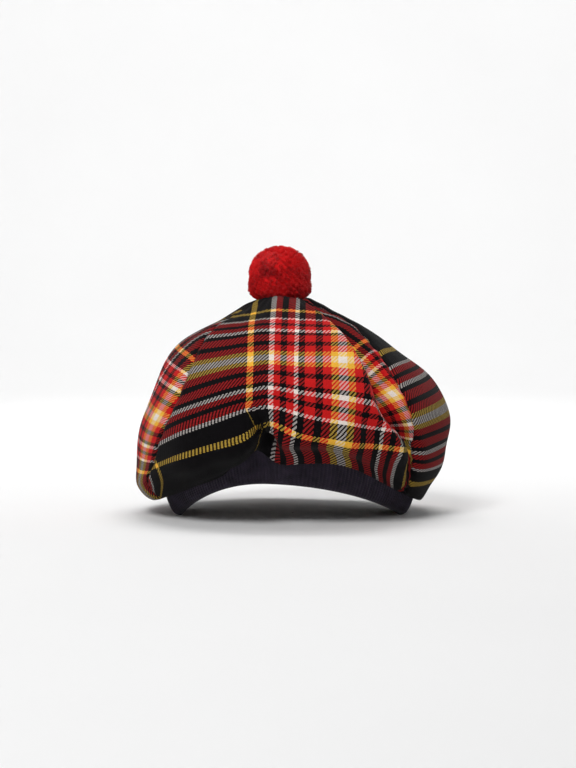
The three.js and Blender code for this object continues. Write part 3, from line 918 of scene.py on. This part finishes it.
print("top of the pompom, mm:", round(float(on_ball(np.array([0.0, 0.0, 1.0]), 1.0)[2]), 1))

# %% [markdown]
# A yarn end is a clump, and its fibres fan out from root to tip. Those at a clump's edge are a little
# shorter, which leaves the dark hollows. Real wool fibres are finer than a tenth of a millimetre, and
# are drawn thicker here so that they show and the piece stays light.

# %% Where each fibre stands
POM_SEED, POM_FIBRES, POM_CLUMPS = 7, 13500, 420
CLUMP_SHIFT, CLUMP_UNEVEN = 0.02, 0.007
TIP_SPREAD, ROOT_SHARE, EDGE_AT = 0.05, 0.45, 0.087
EDGE_SHORTER, TRIM_UNEVEN, FIBRE_WANDER = 0.018, 0.006, 0.35


def scatter_fibres():
    """The ways that roots and tips point, how far each fibre reaches, and how it bends aside."""
    rng = np.random.default_rng(POM_SEED)
    clumps = spread_directions(POM_CLUMPS)
    clumps = unit(clumps + rng.normal(0, CLUMP_SHIFT, clumps.shape))
    clump_reach = rng.normal(0, CLUMP_UNEVEN, POM_CLUMPS)
    which = rng.integers(0, POM_CLUMPS, POM_FIBRES)
    spread = rng.normal(0, TIP_SPREAD, (POM_FIBRES, 3))
    tip_way = unit(clumps[which] + spread)
    root_way = unit(clumps[which] + spread * ROOT_SHARE)
    from_middle = np.linalg.norm(spread, axis=-1) / EDGE_AT
    reach = 1.0 + clump_reach[which] - EDGE_SHORTER * from_middle**2
    reach = reach + rng.normal(0, TRIM_UNEVEN, POM_FIBRES)
    wander = rng.normal(0, FIBRE_WANDER, (POM_FIBRES, 3))
    return root_way, tip_way, reach, wander


print("fibres:", POM_FIBRES, "in clumps:", POM_CLUMPS)

# %% [markdown]
# A fibre is three small triangles, at its root, halfway and at its tip, joined by quads and closed at
# both ends. More sides wouldn't show at this size.

# %% Fibres as a mesh
POM_PILE = 4.5
PILE_SHARE = POM_PILE / (POM_WIDTH / 2)
FIBRE_LEVELS, FIBRE_RADII, FIBRE_SIDES = (0.0, 0.5, 1.0), (0.3, 0.3, 0.14), 3
STEEP = 0.8


def fibre_points(root_way, tip_way, reach, wander):
    rings = []
    for level, radius in zip(FIBRE_LEVELS, FIBRE_RADII):
        way = root_way * (1 - level) + tip_way * level
        centre = on_ball(unit(way), reach - PILE_SHARE * (1 - level))
        centre = centre + wander * math.sin(math.pi * level)
        helper = np.where(np.abs(way[:, 2:3]) > STEEP, [[1.0, 0, 0]], [[0, 0, 1.0]])
        first = unit(np.cross(way, helper))
        second = np.cross(way, first)
        for side in range(FIBRE_SIDES):
            angle = 2 * math.pi * side / FIBRE_SIDES
            rings.append(centre + radius * (math.cos(angle) * first + math.sin(angle) * second))
    return np.stack(rings, 1)


def fibre_faces(points_each):
    corner = np.arange(POM_FIBRES)[:, None] * points_each
    faces = []
    for level in range(len(FIBRE_LEVELS) - 1):
        for side in range(FIBRE_SIDES):
            low = level * FIBRE_SIDES + side
            low_next = level * FIBRE_SIDES + (side + 1) % FIBRE_SIDES
            quad = [low, low_next, low_next + FIBRE_SIDES, low + FIBRE_SIDES]
            faces.append(corner + np.array(quad))
    tip = points_each - FIBRE_SIDES
    caps = [corner + np.array([0, 2, 1]), corner + np.array([tip, tip + 1, tip + 2])]
    return np.concatenate(faces).tolist() + np.concatenate(caps).tolist()


print("faces in a fibre:", FIBRE_SIDES * (len(FIBRE_LEVELS) - 1) + 2)

# %% [markdown]
# The core is a plain ball of the same form. It is drawn in by part of the pile's depth, so that it
# hides the fibres' roots and nobody sees through between them.

# %% Core ball and the whole pompom
CORE_ROWS, CORE_COLUMNS, CORE_DRAWN_IN = 48, 96, 0.62


def core_ball(first_point):
    tilt = np.linspace(0, math.pi, CORE_ROWS + 1)[None, :]
    turned = np.linspace(0, 2 * math.pi, CORE_COLUMNS, endpoint=False)[:, None]
    way = [np.sin(tilt) * np.cos(turned), np.sin(tilt) * np.sin(turned), np.cos(tilt) + 0 * turned]
    points = on_ball(np.stack(way, -1), 1 - PILE_SHARE * CORE_DRAWN_IN)
    index = first_point + np.arange(CORE_COLUMNS * (CORE_ROWS + 1)).reshape(CORE_COLUMNS, -1)
    return points, grid_quads(index).tolist()


def make_pompom():
    points = fibre_points(*scatter_fibres())
    core, ball = core_ball(points.shape[0] * points.shape[1])
    every = np.concatenate([points.reshape(-1, 3), core.reshape(-1, 3)])
    return mesh_object("pompom_yarn", every, fibre_faces(points.shape[1]) + ball, YARN)


pompom = make_pompom()
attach(pompom, "root")
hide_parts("pompom")
print("pompom faces:", len(pompom.data.polygons))

# %% [markdown]
# ## The studio
# The hat stands in a round pale cove: a floor that curves up into a wall, so that no line shows where
# they meet, from whichever side one looks. Its finish is matt paper, rolled from pulp. That gives an
# even, almost white surface without gloss, so it is rough and nearly one colour.

# %% Paper cove
COVE_FLAT, COVE_BEND, COVE_TALL = 2.0, 1.2, 3.5
COVE_INNER, COVE_MIDDLE = 0.001, 1.0
BEND_POINTS, COVE_COLUMNS = 13, 96
MOTTLES_PER_M = 3.0


def pale_paper():
    material, tree = new_material("pale_studio_paper")
    place = add_node(tree, "ShaderNodeTexCoord")
    links = {"Vector": place.outputs["Object"]}
    grain = add_node(tree, "ShaderNodeTexNoise", {"Scale": MOTTLES_PER_M}, links)
    ramp = add_node(tree, "ShaderNodeValToRGB", None, {"Fac": grain.outputs["Fac"]})
    ramp.color_ramp.elements[0].color = linear("#E9E9E9")
    ramp.color_ramp.elements[1].color = linear("#EDEDED")
    settings = {"Roughness": 0.9, "Specular IOR Level": 0.1}
    shader = add_node(tree, "ShaderNodeBsdfPrincipled", settings, {"Base Color": ramp.outputs["Color"]})
    add_node(tree, "ShaderNodeOutputMaterial", None, {"Surface": shader.outputs[0]})
    return material


def make_cove():
    """A profile in metres, from the middle of the floor to the top of the wall, turned around."""
    bend = np.linspace(0, math.pi / 2, BEND_POINTS)
    wall = COVE_FLAT + COVE_BEND
    out = np.concatenate([[COVE_INNER, COVE_MIDDLE], COVE_FLAT + COVE_BEND * np.sin(bend), [wall]])
    up = np.concatenate([[0.0, 0.0], COVE_BEND * (1 - np.cos(bend)), [COVE_TALL]])
    turned = np.linspace(0, 2 * math.pi, COVE_COLUMNS, endpoint=False)[:, None]
    points = np.stack([out * np.cos(turned), out * np.sin(turned), up + 0 * turned], -1)
    index = np.arange(points[..., 0].size).reshape(points.shape[:2])
    return mesh_object("studio_floor", points / MM, grid_quads(index).tolist(), pale_paper())


floor = make_cove()
print("floor faces:", len(floor.data.polygons))

# %% [markdown]
# One soft light hangs overhead. A larger share comes from the front at the left, some 45 degrees up,
# which leaves the brow's underside in shade. The third lights the wall only, and a little light comes
# from everywhere, so that no fold is quite black.

# %% Lights
AIR_LIGHT = 0.08


def area_light(name, place, aim, size, watts):
    """A round lamp, in metres and watts, turned to face what it is aimed at."""
    light = bpy.data.lights.new(name, "AREA")
    light.shape = "DISK"
    light.size = size
    light.energy = watts
    lamp = bpy.data.objects.new(name, light)
    bpy.context.collection.objects.link(lamp)
    lamp.location = place
    direction = np.array(aim) - np.array(place)
    lamp.rotation_euler = (
        math.atan2(math.hypot(direction[0], direction[1]), -direction[2]),
        0,
        math.atan2(direction[1], direction[0]) - math.pi / 2,
    )


area_light("key", (0.3, 0.1, 1.9), (0, 0, 0.1), 1.1, 7.5)
area_light("front", (-0.6, -1.45, 1.55), (0, 0, 0.1), 0.8, 26)
area_light("back", (0.0, 0.9, 2.2), (0, 2.5, 0.7), 1.8, 49)

world = bpy.data.worlds.new("studio_air")
bpy.context.scene.world = world
world.use_nodes = True
air = world.node_tree.nodes["Background"]
air.inputs["Color"].default_value = linear("#FFFFFF")
air.inputs["Strength"].default_value = AIR_LIGHT
print("lights:", len(bpy.data.lights))
